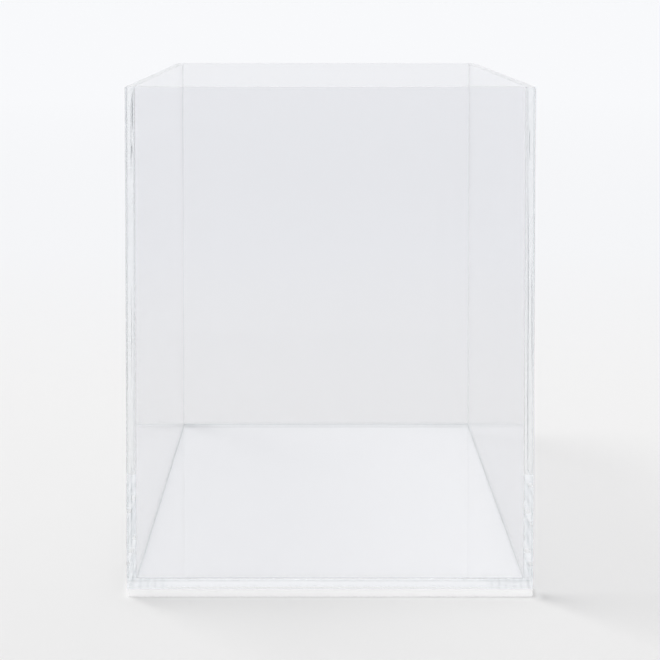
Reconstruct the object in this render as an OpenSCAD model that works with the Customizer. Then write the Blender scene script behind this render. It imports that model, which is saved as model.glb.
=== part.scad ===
// Open-topped display box of clear acrylic sheet, standing on a white base plate.
// The origin is the centre of the underside, +Z is up and the front faces -Y.
// The front and back walls cover the ends of the side walls, and all four stand on the floor.

/* [Overall size] */
// Width of the box from left to right
box_w = 203.2; // [120:0.1:400]
// Depth of the box from front to back
box_d = 203.2; // [120:0.1:400]
// Height of the walls
wall_h = 247.35; // [50:0.05:500]

/* [Sheets] */
// Thickness of the four walls
wall_t = 4.5; // [3:0.1:12]
// Thickness of the clear floor under the walls
floor_t = 4; // [3:0.1:12]
// Thickness of the white base plate under the floor
plate_t = 4; // [2:0.1:12]
// Corner radius of the white base plate
plate_corner_r = 1.5; // [0.5:0.1:6]

/* [Cement] */
// Thickness of the cement film in each joint
cement_t = 0.15; // [0.1:0.05:0.5]
// Distance that the cement stays back from the edges of its joint
cement_inset = 0.25; // [0.1:0.05:1]

/* [Hidden] */
ENDS = ["front", "back"];
SIDES = ["left", "right"];
$fn = 48;

clear = [0.86, 0.93, 0.95, 0.35];
opal_white = [0.96, 0.96, 0.96];
cement = [0.78, 0.86, 0.9, 0.7];

half_w = box_w / 2;
half_d = box_d / 2;
floor_top = plate_t + floor_t;
wall_z = floor_top + cement_t;
side_d = box_d - 2 * (wall_t + cement_t);
film_w = wall_t - 2 * cement_inset;

// -1 for front and left, 1 for back and right
function way(place) = place == "front" || place == "left" ? -1 : 1;

// A block centred on the Z axis, with its underside at height z
module slab(w, d, h, z) {
    translate([-w / 2, -d / 2, z]) cube([w, d, h]);
}

// A slab whose upright corners are round
module round_cornered_slab(w, d, h, r) {
    slab(w - 2 * r, d, h, 0);
    slab(w, d - 2 * r, h, 0);
    for (x = [-1, 1], y = [-1, 1])
        translate([x * (w / 2 - r), y * (d / 2 - r), 0]) cylinder(r = r, h = h);
}

module base_plate() {
    color(opal_white) round_cornered_slab(box_w, box_d, plate_t, plate_corner_r);
}

module floor_panel() {
    color(clear) slab(box_w, box_d, floor_t, plate_t);
}

// Front or back wall, over the full width
module end_panel(end) {
    color(clear) translate([0, way(end) * (half_d - wall_t / 2), 0])
        slab(box_w, wall_t, wall_h, wall_z);
}

// Left or right wall, between the front and back walls
module side_panel(side) {
    color(clear) translate([way(side) * (half_w - wall_t / 2), 0, 0])
        slab(wall_t, side_d, wall_h, wall_z);
}

// Cement in an upright corner, between an end wall and the end of a side wall
module corner_seam(end, side) {
    x = way(side) * (half_w - wall_t / 2);
    y = way(end) * (half_d - wall_t - cement_t / 2);
    color(cement) translate([x, y, 0]) slab(film_w, cement_t, wall_h - cement_inset, wall_z);
}

// Cement under the foot of an end wall
module end_foot_seam(end) {
    color(cement) translate([0, way(end) * (half_d - wall_t / 2), 0])
        slab(box_w - 2 * cement_inset, film_w, cement_t, floor_top);
}

// Cement under the foot of a side wall
module side_foot_seam(side) {
    color(cement) translate([way(side) * (half_w - wall_t / 2), 0, 0])
        slab(film_w, side_d, cement_t, floor_top);
}

base_plate();
floor_panel();
for (end = ENDS) {
    end_panel(end);
    end_foot_seam(end);
    for (side = SIDES)
        corner_seam(end, side);
}
for (side = SIDES) {
    side_panel(side);
    side_foot_seam(side);
}
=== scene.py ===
import math
import random

import bmesh
import bpy
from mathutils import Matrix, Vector


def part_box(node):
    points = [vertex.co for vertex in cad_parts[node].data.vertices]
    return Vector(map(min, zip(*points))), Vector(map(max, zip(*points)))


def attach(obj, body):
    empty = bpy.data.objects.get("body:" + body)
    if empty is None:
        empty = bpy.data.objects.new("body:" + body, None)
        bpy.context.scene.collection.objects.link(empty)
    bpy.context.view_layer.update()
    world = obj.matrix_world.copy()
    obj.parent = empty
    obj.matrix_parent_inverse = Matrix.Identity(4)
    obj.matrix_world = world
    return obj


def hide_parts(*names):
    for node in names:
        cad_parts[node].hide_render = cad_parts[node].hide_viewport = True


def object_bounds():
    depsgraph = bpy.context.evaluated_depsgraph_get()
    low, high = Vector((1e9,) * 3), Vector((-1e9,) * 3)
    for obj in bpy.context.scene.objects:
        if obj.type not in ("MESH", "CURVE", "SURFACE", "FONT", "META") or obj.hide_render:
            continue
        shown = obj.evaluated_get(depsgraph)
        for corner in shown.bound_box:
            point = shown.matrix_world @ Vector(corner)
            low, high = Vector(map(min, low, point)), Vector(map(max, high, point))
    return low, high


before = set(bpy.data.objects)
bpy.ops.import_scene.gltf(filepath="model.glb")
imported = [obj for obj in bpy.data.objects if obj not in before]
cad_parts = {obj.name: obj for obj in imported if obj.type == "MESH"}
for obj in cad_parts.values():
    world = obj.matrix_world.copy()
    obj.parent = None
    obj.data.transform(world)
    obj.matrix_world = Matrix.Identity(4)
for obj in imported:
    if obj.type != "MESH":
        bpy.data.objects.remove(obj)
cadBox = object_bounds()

mm = 0.001
scene = bpy.context.scene
endWalls = ("front_panel", "back_panel")
sideWalls = ("left_panel", "right_panel")
seams = [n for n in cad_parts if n.endswith("_seam")]


# small helpers for node trees

def newMaterial(name):
    mat = bpy.data.materials.new(name)
    mat.use_nodes = True
    mat.node_tree.nodes.clear()
    return mat, mat.node_tree


def addNode(tree, kind, inputs=(), **settings):
    node = tree.nodes.new(kind)
    for key, value in settings.items():
        setattr(node, key, value)
    for key, value in dict(inputs).items():
        if isinstance(value, bpy.types.NodeSocket):
            tree.links.new(value, node.inputs[key])
        else:
            node.inputs[key].default_value = value
    return node


def setSurface(tree, shader, output="ShaderNodeOutputMaterial"):
    addNode(tree, output, {"Surface": shader.outputs[0]})


def mixShaders(tree, share, first, second):
    return addNode(tree, "ShaderNodeMixShader",
                   {0: share, 1: first.outputs[0], 2: second.outputs[0]})


def mixColours(tree, share, first, second):
    return addNode(tree, "ShaderNodeMix", {"Factor": share, "A": first, "B": second},
                   data_type="RGBA").outputs["Result"]


def workOut(tree, operation, first, second):
    return addNode(tree, "ShaderNodeMath", {0: first, 1: second}, operation=operation).outputs[0]


def spread(tree, value, low, high, fromLow=0.3, fromHigh=0.7):
    # maps a value from one range to another; most of a noise lies between 0.3 and 0.7
    return addNode(tree, "ShaderNodeMapRange",
                   {0: value, 1: fromLow, 2: fromHigh, 3: low, 4: high}).outputs[0]


def objectNoise(tree, scale, finer=(1, 1, 1), detail=3.0):
    # noise that stays put on the piece, and can be finer along one axis than along the others
    place = addNode(tree, "ShaderNodeTexCoord")
    drawn = addNode(tree, "ShaderNodeMapping", {"Vector": place.outputs["Object"], "Scale": finer})
    return addNode(tree, "ShaderNodeTexNoise",
                   {"Vector": drawn.outputs[0], "Scale": scale, "Detail": detail}).outputs[0]


# materials

acrylic = {
    "bend": 1.49,                              # index of refraction of cast acrylic
    "wallTint": (0.950, 0.952, 0.962, 1),      # what one sheet leaves of the light
    "endTint": (0.945, 0.955, 0.965, 1),       # the same at the upright ends of a front or back wall
    "floorTint": (0.953, 0.955, 0.963, 1),
    "sideLampShare": (0.875, 0.875, 0.88, 1),  # what one face of a side wall leaves of a lamp's light
    "faceLampShare": (0.99, 0.99, 0.99, 1),    # the same for the front and back walls
    "endLampShare": (0.1, 0.11, 0.12, 1),      # and for the upright ends of those two
    "floorLampShare": (1, 1, 1, 1),            # the clear floor leaves all of it
    "smudge": (0.0, 0.035),                    # roughness of the clean and the handled areas
    "smudgeRange": (0.55, 0.75),               # where in the noise a clean area turns handled
    "smudgeScale": 9.0,
    "wave": 0.02,                              # strength of the sheet's slow waviness
    "waveDepth": 0.2 * mm,
    "waveScale": 6.0,
}


def lightWay(tree, body, lampShare):
    # light for the floor and the plate goes straight through, and loses a share only from a lamp
    path = addNode(tree, "ShaderNodeLightPath")
    clear = addNode(tree, "ShaderNodeBsdfTransparent")
    soft = mixShaders(tree, path.outputs["Is Diffuse Ray"], body, clear)
    lampWay = addNode(tree, "ShaderNodeBsdfTransparent", {"Color": lampShare})
    return mixShaders(tree, path.outputs["Is Shadow Ray"], soft, lampWay)


def clearAcrylic(name, tint, lampShare):
    mat, tree = newMaterial(name)
    handled = objectNoise(tree, acrylic["smudgeScale"], detail=5.0)
    smudge = spread(tree, handled, *acrylic["smudge"], *acrylic["smudgeRange"])
    wave = addNode(tree, "ShaderNodeBump", {
        "Height": objectNoise(tree, acrylic["waveScale"], detail=1.0),
        "Strength": acrylic["wave"], "Distance": acrylic["waveDepth"]})
    body = addNode(tree, "ShaderNodeBsdfPrincipled", {
        "Base Color": tint, "IOR": acrylic["bend"], "Roughness": smudge,
        "Transmission Weight": 1.0, "Normal": wave.outputs[0]})
    setSurface(tree, lightWay(tree, body, lampShare))
    return mat


def bondedAcrylic():
    # a face that the cement has welded to its neighbour bends no light
    mat, tree = newMaterial("bondedFace")
    setSurface(tree, addNode(tree, "ShaderNodeBsdfTransparent"))
    return mat


cement = {
    "film": (0.0, 0.03),                  # how much of the cured film shows, at least and at most
    "filmColour": (0.80, 0.86, 0.88, 1),
    "footShare": (0.88, 0.895, 0.9, 1),   # what it leaves of the light under a front or side wall
    "backShare": (0.84, 0.86, 0.865, 1),  # and under the back wall
    "bead": (0.16, 0.26),                 # how much the bead along the film's edges shows
    "beadColour": (0.10, 0.16, 0.17, 1),
    "squeezed": (0.08, 0.12),             # and the line of it squeezed out at the foot of a wall, whose dark colour is also painted shade along that foot
    "patchScale": 700.0,                  # of the noise that makes these uneven
    "roughness": 0.3,
    "bubbleColour": (0.93, 0.95, 0.96, 1),
    "channelColour": (0.30, 0.33, 0.34, 1),
    "voidBend": 1.49,                     # kept above 1, which an exported model needs
    "voidRoughness": (0.0, 0.08),
    "voidScale": 900.0,
}


def curedCement(name, colour, shows, lightShare=None):
    # with a light share, the light for the floor and the plate goes straight through the film
    mat, tree = newMaterial(name)
    patch = spread(tree, objectNoise(tree, cement["patchScale"], detail=4.0), *shows)
    body = addNode(tree, "ShaderNodeBsdfPrincipled", {
        "Base Color": colour, "Roughness": cement["roughness"], "Alpha": patch})
    if lightShare:
        path = addNode(tree, "ShaderNodeLightPath").outputs
        lighting = workOut(tree, "MAXIMUM", path["Is Shadow Ray"], path["Is Diffuse Ray"])
        clear = addNode(tree, "ShaderNodeBsdfTransparent", {"Color": lightShare})
        body = mixShaders(tree, lighting, body, clear)
    setSurface(tree, body)
    return mat


def trappedAir(name, colour):
    mat, tree = newMaterial(name)
    skin = addNode(tree, "ShaderNodeBsdfPrincipled", {
        "Base Color": colour, "IOR": cement["voidBend"], "Transmission Weight": 1.0,
        "Roughness": spread(tree, objectNoise(tree, cement["voidScale"]), *cement["voidRoughness"])})
    setSurface(tree, lightWay(tree, skin, (1, 1, 1, 1)))
    return mat


plateLook = {
    "white": (0.975, 0.975, 0.975, 1),   # the plate's faces
    "edge": (0.965, 0.965, 0.967, 1),    # its sawn edges
    "shade": (0.955, 0.955, 0.958, 1),   # the darker areas of both
    "cloudScale": 14.0,
    "glossy": (0.02, 0.05),              # roughness of the faces
    "sawn": (0.45, 0.6),                 # and of the edges
    "sawScale": 60.0,
    "sawFiner": (1, 1, 40),              # far finer upwards, which makes marks along the edges
    "sawStrength": 0.08,
    "sawDepth": 0.1 * mm,
    "cornerRound": 1.5 * mm,
    "cornerSteps": 10,
    "edgeRound": 0.35 * mm,
    "edgeSteps": 3,
    "airGap": 0.03 * mm,                 # under the clear floor
}


def whiteAcrylic(name, white, roughness):
    mat, tree = newMaterial(name)
    cloud = objectNoise(tree, plateLook["cloudScale"], detail=2.0)
    sawn = objectNoise(tree, plateLook["sawScale"], plateLook["sawFiner"], detail=4.0)
    grain = addNode(tree, "ShaderNodeBump", {
        "Height": sawn, "Strength": plateLook["sawStrength"], "Distance": plateLook["sawDepth"]})
    body = addNode(tree, "ShaderNodeBsdfPrincipled", {
        "Base Color": mixColours(tree, cloud, white, plateLook["shade"]), "IOR": acrylic["bend"],
        "Roughness": spread(tree, cloud, *roughness), "Normal": grain.outputs[0]})
    setSurface(tree, body)
    return mat


sideMat = clearAcrylic("sideWallAcrylic", acrylic["wallTint"], acrylic["sideLampShare"])
faceMat = clearAcrylic("faceWallAcrylic", acrylic["wallTint"], acrylic["faceLampShare"])
endMat = clearAcrylic("endAcrylic", acrylic["endTint"], acrylic["endLampShare"])
floorMat = clearAcrylic("floorAcrylic", acrylic["floorTint"], acrylic["floorLampShare"])
bondMat = bondedAcrylic()
cementMat = curedCement("cementFilm", cement["filmColour"], cement["film"])
beadMat = curedCement("cementBead", cement["beadColour"], cement["bead"])
footMat = curedCement("footCement", cement["filmColour"], cement["film"], cement["footShare"])
backMat = curedCement("backFootCement", cement["filmColour"], cement["film"], cement["backShare"])
# squeezed cement, dark so that it also stands as painted shade along each wall's foot
squeezedCementAndShadeMat = curedCement("squeezedCement", cement["beadColour"], cement["squeezed"])
airMat = trappedAir("airBubble", cement["bubbleColour"])
channelMat = trappedAir("airChannel", cement["channelColour"])
whiteMat = whiteAcrylic("whiteAcrylic", plateLook["white"], plateLook["glossy"])
sawnMat = whiteAcrylic("whiteAcrylicEdge", plateLook["edge"], plateLook["sawn"])
print("materials made")


# what every piece needs

def pieceName(node):
    first, *rest = node.split("_")
    return first + "".join(word.capitalize() for word in rest) + "Piece"


def finishPiece(node, bm, materials):
    mesh = bpy.data.meshes.new(node)
    bm.to_mesh(mesh)
    bm.free()
    for mat in materials:
        mesh.materials.append(mat)
    piece = bpy.data.objects.new(pieceName(node), mesh)
    scene.collection.objects.link(piece)
    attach(piece, "root")
    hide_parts(node)


def roundEdges(bm, edges, by, steps):
    # a profile of 0.5 is a quarter of a circle
    bmesh.ops.bevel(bm, geom=edges, offset=by, segments=steps, profile=0.5, affect="EDGES")


# the clear sheets

sheetLook = {
    "edgeRound": 0.06 * mm,   # polished edges are barely rounded
    "roundSteps": 2,
    "endWidth": 4.3 * mm,     # of the upright ends of the front and back walls, over the seams
    "reach": 0.02 * mm,       # how near a seam has to be to count as touching
    "keepOff": 0.1 * mm,      # no cut is made this near a sheet's own edge
    "keepIn": 0.3 * mm,       # nor this near the outside of the whole box
}
plainFace, bondedFace, endFace = range(3)  # a sheet's material slots


def boxMesh(low, high):
    bm = bmesh.new()
    bmesh.ops.create_cube(bm, size=1.0)
    bmesh.ops.scale(bm, vec=high - low, verts=bm.verts)
    bmesh.ops.translate(bm, vec=(low + high) / 2, verts=bm.verts)
    roundEdges(bm, bm.edges[:], sheetLook["edgeRound"], sheetLook["roundSteps"])
    bm.normal_update()
    return bm


def touches(low, high, seamLow, seamHigh):
    reach = sheetLook["reach"]
    return all(low[i] - reach <= seamHigh[i] and seamLow[i] <= high[i] + reach for i in range(3))


def leavesSliver(low, high, axis, place):
    own, whole = sheetLook["keepOff"], sheetLook["keepIn"]
    return (not low[axis] + own < place < high[axis] - own
            or not cadBox[0][axis] + whole < place < cadBox[1][axis] - whole)


def cutAcross(bm, axis, place):
    point, normal = Vector(), Vector()
    point[axis] = place
    normal[axis] = 1
    bmesh.ops.bisect_plane(bm, geom=bm.verts[:] + bm.edges[:] + bm.faces[:],
                           plane_co=point, plane_no=normal)


def markBonds(bm, low, high):
    # cuts the sheet's faces along each seam that it touches, and marks what the cement covers
    made = set()  # two seams may share a cut
    for seam in seams:
        seamLow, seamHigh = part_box(seam)
        if not touches(low, high, seamLow, seamHigh):
            continue
        for axis in range(3):
            for edge in (seamLow[axis], seamHigh[axis]):
                cut = (axis, round(edge / mm, 3))
                if cut in made or leavesSliver(low, high, axis, edge):
                    continue
                made.add(cut)
                cutAcross(bm, axis, edge)
        film = min(seamHigh - seamLow)
        for face in bm.faces:
            probe = face.calc_center_median() + face.normal * film / 2
            if all(seamLow[i] < probe[i] < seamHigh[i] for i in range(3)):
                face.material_index = bondedFace


def sortFaces(bm):
    # the cuts leave the faces in an order that changes from run to run
    bm.verts.index_update()
    count = len(bm.verts)

    def rank(face):
        first, second, third = sorted(v.index for v in face.verts)[:3]
        return (first * count + second) * count + third

    bm.faces.sort(key=rank)


def makeSheet(node, mat):
    low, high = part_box(node)
    bm = boxMesh(low, high)
    markBonds(bm, low, high)
    sortFaces(bm)
    for face in bm.faces:
        overEnd = abs(face.calc_center_median().x) > high.x - sheetLook["endWidth"]
        if node in endWalls and overEnd and face.material_index == plainFace:
            face.material_index = endFace
    finishPiece(node, bm, (mat, bondMat, endMat))


for node in endWalls:
    makeSheet(node, faceMat)
for node in sideWalls:
    makeSheet(node, sideMat)
makeSheet("floor_panel", floorMat)
print("clear sheets made")


# the white base plate

flatFace, sawnFace = range(2)  # its material slots


def plateOutline(high):
    # counter-clockwise, with a quarter of a circle at each corner
    radius, steps = plateLook["cornerRound"], plateLook["cornerSteps"]
    outline = []
    for corner, (sideX, sideY) in enumerate(((1, -1), (1, 1), (-1, 1), (-1, -1))):
        for i in range(steps + 1):
            turn = math.radians(-90 + 90 * corner + 90 * i / steps)
            outline.append(((high.x - radius) * sideX + radius * math.cos(turn),
                            (high.y - radius) * sideY + radius * math.sin(turn)))
    return outline


def makePlate():
    low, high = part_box("base_plate")
    outline = plateOutline(high)
    bm = bmesh.new()
    bottom = [bm.verts.new((x, y, low.z)) for x, y in outline]
    top = [bm.verts.new((x, y, high.z - plateLook["airGap"])) for x, y in outline]
    bm.faces.new(reversed(bottom))
    bm.faces.new(top)
    for i in range(len(outline)):
        j = (i + 1) % len(outline)
        bm.faces.new((bottom[i], bottom[j], top[j], top[i]))
    rims = [e for e in bm.edges if e.verts[0].co.z == e.verts[1].co.z]
    roundEdges(bm, rims, plateLook["edgeRound"], plateLook["edgeSteps"])
    bm.normal_update()
    for face in bm.faces:
        level = abs(face.normal.z) > 0.9  # takes in the flattest step of a rounded edge as well
        face.material_index = flatFace if level else sawnFace
    finishPiece("base_plate", bm, (whiteMat, sawnMat))


makePlate()
print("base plate made")


# cement seams: a film with uneven edges, the air trapped in it, and what was squeezed out

seamLook = {
    "step": 1.5 * mm,            # length of one straight stretch along a seam
    "waver": 0.02 * mm,          # how far the film's edge wanders
    "bead": 0.16 * mm,           # width of the bead along each edge of the film
    "frontBead": 0.45 * mm,      # and under the front wall, where more cement ran in
    "squeezed": 0.35 * mm,       # width of the line of cement inside the box, along each foot
    "squeezedVary": (0.8, 1.1),  # shares of that width, at least and at most
    "squeezedHigh": 0.6,         # height of that line as a share of its width
    "clear": 0.01 * mm,          # between that line and the sheets
    "seed": 7,
}
filmFace, beadFace, bubbleFace, channelFace, squeezedFace = range(5)  # a seam's material slots

airLook = {
    "footCrowd": 260000.0,       # bubbles to a square metre of a foot seam
    "cornerCrowd": 60000.0,      # and of an upright one
    "smallest": (0.25 * mm, 0.15 * mm, 0.09 * mm),  # a bubble's length, width and depth
    "largest": (1.3 * mm, 0.5 * mm, 0.12 * mm),
    "slant": 0.5,                # radians, either way
    "margin": 0.35 * mm,         # kept free along the film's edges, and twice that at its ends
    "ballSegments": 10,
    "ballRings": 6,
    "channelDeep": 0.06 * mm,
    "channelStep": 0.7 * mm,
    "channelSides": 8,
    "channelEnd": 0.12,          # the least that it swells, which keeps its ends open
    "channelBelly": 0.6,         # power of the swell: the lower, the longer it stays wide
    "channelVary": (0.55, 1.1),  # shares of its width, at least and at most
    "channelWander": 0.25,       # how far it strays to a side, as a share of its width
    # air channels in the upright seams: foot and head in mm, place across from 0 to 1, width in mm
    "channels": {
        "front_left_seam": ((225, 246, 0.74, 0.50), (212, 219, 0.68, 0.36), (95, 147, 0.55, 0.16),
                            (8, 60, 0.45, 0.2)),
        "front_right_seam": ((211, 227, 0.50, 0.32), (64, 196, 0.42, 0.22)),
        "back_left_seam": ((180, 232, 0.4, 0.3),),
        "back_right_seam": ((60, 130, 0.6, 0.3),),
    },
}


def bubbleTree():
    tree = bpy.data.node_groups.new("bubbles", "GeometryNodeTree")
    keys = {}
    for name, kind in (("Long", "Float"), ("Wide", "Float"), ("Crowd", "Float"), ("Seed", "Int"),
                       ("Skin", "Material")):
        socket = tree.interface.new_socket(name=name, in_out="INPUT", socket_type="NodeSocket" + kind)
        keys[name] = socket.identifier
    tree.interface.new_socket(name="Bubbles", in_out="OUTPUT", socket_type="NodeSocketGeometry")
    given = tree.nodes.new("NodeGroupInput").outputs
    field = addNode(tree, "GeometryNodeMeshGrid", {
        "Size X": given["Long"], "Size Y": given["Wide"], "Vertices X": 2, "Vertices Y": 2})
    points = addNode(tree, "GeometryNodeDistributePointsOnFaces", {
        "Mesh": field.outputs["Mesh"], "Density": given["Crowd"], "Seed": given["Seed"]})
    ball = addNode(tree, "GeometryNodeMeshUVSphere", {
        "Segments": airLook["ballSegments"], "Rings": airLook["ballRings"],
        "Radius": 0.5})  # one across, so that its scale is its size
    size = addNode(tree, "FunctionNodeRandomValue", {
        0: airLook["smallest"], 1: airLook["largest"], "Seed": given["Seed"]}, data_type="FLOAT_VECTOR")
    slant = airLook["slant"]
    turn = addNode(tree, "FunctionNodeRandomValue", {
        0: (0, 0, -slant), 1: (0, 0, slant), "Seed": given["Seed"]}, data_type="FLOAT_VECTOR")
    placed = addNode(tree, "GeometryNodeInstanceOnPoints", {
        "Points": points.outputs["Points"], "Instance": ball.outputs["Mesh"],
        "Rotation": turn.outputs[0], "Scale": size.outputs[0]})
    whole = addNode(tree, "GeometryNodeRealizeInstances", {0: placed.outputs[0]})
    skinned = addNode(tree, "GeometryNodeSetMaterial", {
        "Geometry": whole.outputs[0], "Material": given["Skin"]})
    addNode(tree, "NodeGroupOutput", {"Bubbles": skinned.outputs[0]})
    return tree, keys


bubbles, bubbleKeys = bubbleTree()


def bubbleMesh(long, wide, crowd, seed):
    holder = bpy.data.objects.new("bubbleField", bpy.data.meshes.new("bubbleField"))
    scene.collection.objects.link(holder)
    grow = holder.modifiers.new("bubbles", "NODES")
    grow.node_group = bubbles
    given = {"Long": long, "Wide": wide, "Crowd": crowd, "Seed": seed, "Skin": airMat}
    for name, value in given.items():
        grow[bubbleKeys[name]] = value
    graph = bpy.context.evaluated_depsgraph_get()
    mesh = bpy.data.meshes.new_from_object(holder.evaluated_get(graph))
    bpy.data.objects.remove(holder)
    return mesh


def seamPoint(axes, deep, across, along):
    # axes are the seam's thin, wide and long axis
    point = Vector()
    for axis, value in zip(axes, (deep, across, along)):
        point[axis] = value
    return point


def joinRings(bm, rings):
    # closes a row of rings into a solid, and returns its two ends and then its sides
    count = len(rings[0])
    faces = [bm.faces.new(ring) for ring in (rings[0], rings[-1])]
    for a, b in zip(rings, rings[1:]):
        for k in range(count):
            after = (k + 1) % count
            faces.append(bm.faces.new((a[k], a[after], b[after], b[k])))
    return faces


def addBubbles(bm, node, low, high, axes, seed):
    # bubbles are grown flat on X and Y, then turned onto the seam
    middle, size = (low + high) / 2, high - low
    thin, wide, long = axes
    margin = airLook["margin"]
    crowd = airLook["footCrowd"] if "foot" in node else airLook["cornerCrowd"]
    oldVerts, oldFaces = len(bm.verts), len(bm.faces)
    bm.from_mesh(bubbleMesh(size[long] - 4 * margin, size[wide] - 2 * margin, crowd, seed))
    bm.verts.ensure_lookup_table()
    bm.faces.ensure_lookup_table()
    for vert in bm.verts[oldVerts:]:
        x, y, z = vert.co
        vert.co = seamPoint(axes, middle[thin] + z, middle[wide] + y, middle[long] + x)
    for face in bm.faces[oldFaces:]:
        face.material_index = bubbleFace
        face.smooth = True


def addChannel(bm, low, high, axes, channel, dice):
    thin, wide, long = axes
    foot, head, across, width = channel
    foot, head, width = foot * mm, head * mm, width * mm
    steps = round((head - foot) / airLook["channelStep"])
    sides = airLook["channelSides"]
    rings = []
    for i in range(steps + 1):
        along = low[long] + foot + (head - foot) * i / steps
        swell = max(airLook["channelEnd"], math.sin(math.pi * i / steps)) ** airLook["channelBelly"]
        half = width / 2 * swell * dice.uniform(*airLook["channelVary"])
        stray = dice.uniform(-airLook["channelWander"], airLook["channelWander"]) * width
        middle = low[wide] + (high[wide] - low[wide]) * across + stray
        ring = []
        for k in range(sides):
            turn = 2 * math.pi * k / sides
            deep = ((low + high) / 2)[thin] + airLook["channelDeep"] * swell * math.sin(turn)
            ring.append(bm.verts.new(seamPoint(axes, deep, middle + half * math.cos(turn), along)))
        rings.append(ring)
    for face in joinRings(bm, rings):
        face.material_index = channelFace
        face.smooth = True


def innerFace(wall, axis):
    return min((corner[axis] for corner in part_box(wall)), key=abs)


def addSqueezed(bm, node, axes, dice):
    # a thin three-sided line of cement in the corner between the clear floor and a wall; its dark
    # colour also paints the shade along the wall's foot
    thin, wide, long = axes
    clear = seamLook["clear"]
    wallFace = innerFace(node.replace("foot_seam", "panel"), wide)
    inward = -1 if wallFace > 0 else 1
    nextWall = "left_panel" if long == 0 else "front_panel"
    half = abs(innerFace(nextWall, long)) - clear
    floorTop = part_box("floor_panel")[1][thin]
    count = round(2 * half / seamLook["step"])
    rings = []
    for i in range(count + 1):
        width = seamLook["squeezed"] * dice.uniform(*seamLook["squeezedVary"])
        ring = []
        for out, up in ((0, 0), (1, 0), (0, seamLook["squeezedHigh"])):
            deep = floorTop + clear + up * width
            across = wallFace + inward * (clear + out * width)
            ring.append(bm.verts.new(seamPoint(axes, deep, across, half * (2 * i / count - 1))))
        rings.append(ring)
    for face in joinRings(bm, rings):
        face.material_index = squeezedFace


def addFilm(bm, node, low, high, axes, dice):
    thin, wide, long = axes
    length = (high - low)[long]
    count = max(2, round(length / seamLook["step"]))
    bead = seamLook["frontBead" if node == "front_foot_seam" else "bead"]
    rings = []
    for i in range(count + 1):
        along = low[long] + length * i / count
        left = low[wide] + dice.uniform(0, seamLook["waver"])
        right = high[wide] - dice.uniform(0, seamLook["waver"])
        across = (left, left + bead, right - bead, right)
        corners = [(low[thin], w) for w in across] + [(high[thin], w) for w in reversed(across)]
        rings.append([bm.verts.new(seamPoint(axes, deep, w, along)) for deep, w in corners])
    for k, face in enumerate(joinRings(bm, rings)[2:]):
        middle = k % len(corners) in (1, 5)  # the two sides that lie between the beads
        face.material_index = filmFace if middle else beadFace


def seamMaterials(node):
    film, bead = cementMat, beadMat
    if "foot" in node:
        film = footMat
    if node == "back_foot_seam":
        film, bead = backMat, backMat
    return film, bead, airMat, channelMat, squeezedCementAndShadeMat


def makeSeam(node, number):
    low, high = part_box(node)
    size = high - low
    axes = sorted(range(3), key=lambda i: size[i])
    seed = seamLook["seed"] + number
    dice = random.Random(seed)
    bm = bmesh.new()
    addFilm(bm, node, low, high, axes, dice)
    addBubbles(bm, node, low, high, axes, seed)
    for channel in airLook["channels"].get(node, ()):
        addChannel(bm, low, high, axes, channel, dice)
    if "foot" in node:
        addSqueezed(bm, node, axes, dice)
    bmesh.ops.recalc_face_normals(bm, faces=bm.faces)
    finishPiece(node, bm, seamMaterials(node))


for number, node in enumerate(seams):
    makeSeam(node, number)
print("cement seams made")


# floor, backdrop and light

stageLook = {
    "reach": 300.0,      # metres of floor each way
    "drop": 0.05 * mm,   # from the underside of the plate to the floor
    "shade": (           # painted shade: the floor darkens towards the front in place of light falling off there; how pale it is at each Y, in metres
        (-3.0, (0.46, 0.46, 0.47, 1)),
        (-0.9, (0.54, 0.54, 0.55, 1)),
        (-0.4, (0.74, 0.74, 0.74, 1)),
        (-0.14, (0.820, 0.818, 0.817, 1)),
        (0.0, (0.846, 0.844, 0.843, 1)),
        (0.16, (0.861, 0.859, 0.858, 1)),
        (0.64, (0.879, 0.885, 0.900, 1)),
        (2.6, (0.908, 0.915, 0.931, 1))),
}


def floorMaterial():
    mat, tree = newMaterial("paleFloor")
    # the ramp along Y paints shade onto the floor, darker towards the front
    stops = stageLook["shade"]
    first, last = stops[0][0], stops[-1][0]
    place = addNode(tree, "ShaderNodeTexCoord")
    split = addNode(tree, "ShaderNodeSeparateXYZ", {0: place.outputs["Object"]})
    share = spread(tree, split.outputs["Y"], 0.0, 1.0, first, last)
    ramp = addNode(tree, "ShaderNodeValToRGB", {0: share})
    elements = ramp.color_ramp.elements
    while len(elements) < len(stops):
        elements.new(1.0)
    for element, (y, colour) in zip(elements, stops):
        element.position = (y - first) / (last - first)
        element.color = colour
    setSurface(tree, addNode(tree, "ShaderNodeBsdfDiffuse", {"Color": ramp.outputs["Color"]}))
    return mat


def makeFloor():
    reach, z = stageLook["reach"], -stageLook["drop"]
    corners = [(x * reach, y * reach, z) for x, y in ((-1, -1), (1, -1), (1, 1), (-1, 1))]
    mesh = bpy.data.meshes.new("floor")
    mesh.from_pydata(corners, [], [(0, 1, 2, 3)])
    mesh.materials.append(floorMaterial())
    floor = bpy.data.objects.new("paleFloor", mesh)
    scene.collection.objects.link(floor)


skyLook = {  # an X, Y or Z here is that of a ray's direction
    "horizon": (0.937, 0.945, 0.962, 1),    # what is seen, directly or through or in a sheet
    "frontDark": (0.52, 0.54, 0.56, 1),     # the unlit side of the studio, as the sheets pass it on
    "frontDarkZ": (0.05, 0.2),              # from none of it to all
    "frontDarkY": (-0.6, -0.3),             # from all to none
    "sideLight": (1.625, 1.625, 1.627, 1),  # what lights the pieces and the floor from the sides
    "leftLight": (1.07, 1.07, 1.072, 1),    # from the left
    "leftX": (-1.0, 0.2),                   # from all to none
    "topLight": (0.566, 0.566, 0.569, 1),   # and from above
    "topZ": (0.25, 0.6),                    # from none to all
}


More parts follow.
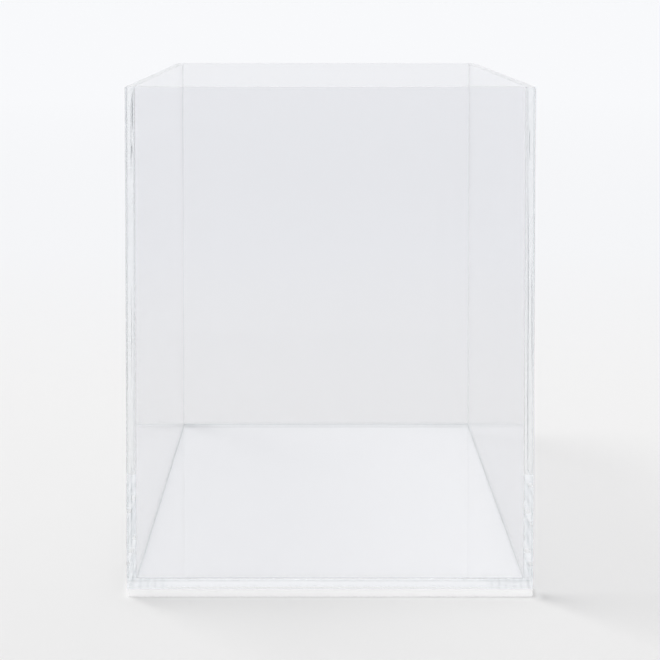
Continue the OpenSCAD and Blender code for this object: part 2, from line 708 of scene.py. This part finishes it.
def makeWorld():
    world = bpy.data.worlds.new("studio")
    world.use_nodes = True
    world.cycles.sampling_method = "NONE"  # its light comes by diffuse rays, as lightWay expects
    scene.world = world
    tree = world.node_tree
    tree.nodes.clear()
    path = addNode(tree, "ShaderNodeLightPath").outputs
    place = addNode(tree, "ShaderNodeTexCoord")
    x, y, z = addNode(tree, "ShaderNodeSeparateXYZ", {0: place.outputs["Generated"]}).outputs

    left = spread(tree, x, 1.0, 0.0, *skyLook["leftX"])
    sides = mixColours(tree, left, skyLook["sideLight"], skyLook["leftLight"])
    top = spread(tree, z, 0.0, 1.0, *skyLook["topZ"])
    sky = mixColours(tree, top, sides, skyLook["topLight"])

    high = spread(tree, z, 0.0, 1.0, *skyLook["frontDarkZ"])
    front = spread(tree, y, 1.0, 0.0, *skyLook["frontDarkY"])
    highFront = workOut(tree, "MULTIPLY", high, front)
    inside = workOut(tree, "MULTIPLY", highFront, path["Is Transmission Ray"])
    seenColour = mixColours(tree, inside, skyLook["horizon"], skyLook["frontDark"])

    direct = workOut(tree, "MAXIMUM", path["Is Camera Ray"], path["Is Transmission Ray"])
    seen = workOut(tree, "MAXIMUM", direct, path["Is Glossy Ray"])
    colour = mixColours(tree, seen, sky, seenColour)
    light = addNode(tree, "ShaderNodeBackground", {"Color": colour, "Strength": 1.0})
    setSurface(tree, light, "ShaderNodeOutputWorld")


lampLook = {
    "from": (-0.42, 0.15, 0.88),   # direction that the light comes from
    "softness": 20.0,              # degrees
    "strength": 1.07,
}


def makeLamp():
    data = bpy.data.lights.new("softLamp", "SUN")
    data.angle = math.radians(lampLook["softness"])
    data.energy = lampLook["strength"]
    lamp = bpy.data.objects.new("softLamp", data)
    scene.collection.objects.link(lamp)
    lamp.rotation_euler = Vector(lampLook["from"]).to_track_quat("Z", "Y").to_euler()


makeFloor()
makeWorld()
makeLamp()
print("floor and light made")


cameraLook = {
    "lens": 57.8,               # focal length in mm
    "away": 522.7 * mm,         # from the front wall
    "left": 7.6 * mm,           # of the box's middle
    "aboveRim": 42.0 * mm,
    "down": 1.435,              # degrees
    "shift": (0.023, -0.457),   # shares of the frame's width
    "near": 10 * mm,            # nothing nearer is drawn
}
lightBounces = 128  # light runs far inside the sheets before it leaves them


def makeCamera():
    data = bpy.data.cameras.new("camera")
    camera = bpy.data.objects.new("camera", data)
    scene.collection.objects.link(camera)
    scene.camera = camera
    data.lens = cameraLook["lens"]
    data.shift_x, data.shift_y = cameraLook["shift"]
    data.clip_start = cameraLook["near"]
    camera.location = (-cameraLook["left"], cadBox[0].y - cameraLook["away"],
                       cadBox[1].z + cameraLook["aboveRim"])
    camera.rotation_euler = (math.radians(90 - cameraLook["down"]), 0, 0)


makeCamera()
scene.view_settings.view_transform = "Standard"
for kind in ("max_bounces", "transmission_bounces", "glossy_bounces", "transparent_max_bounces"):
    setattr(scene.cycles, kind, lightBounces)
print("camera made")
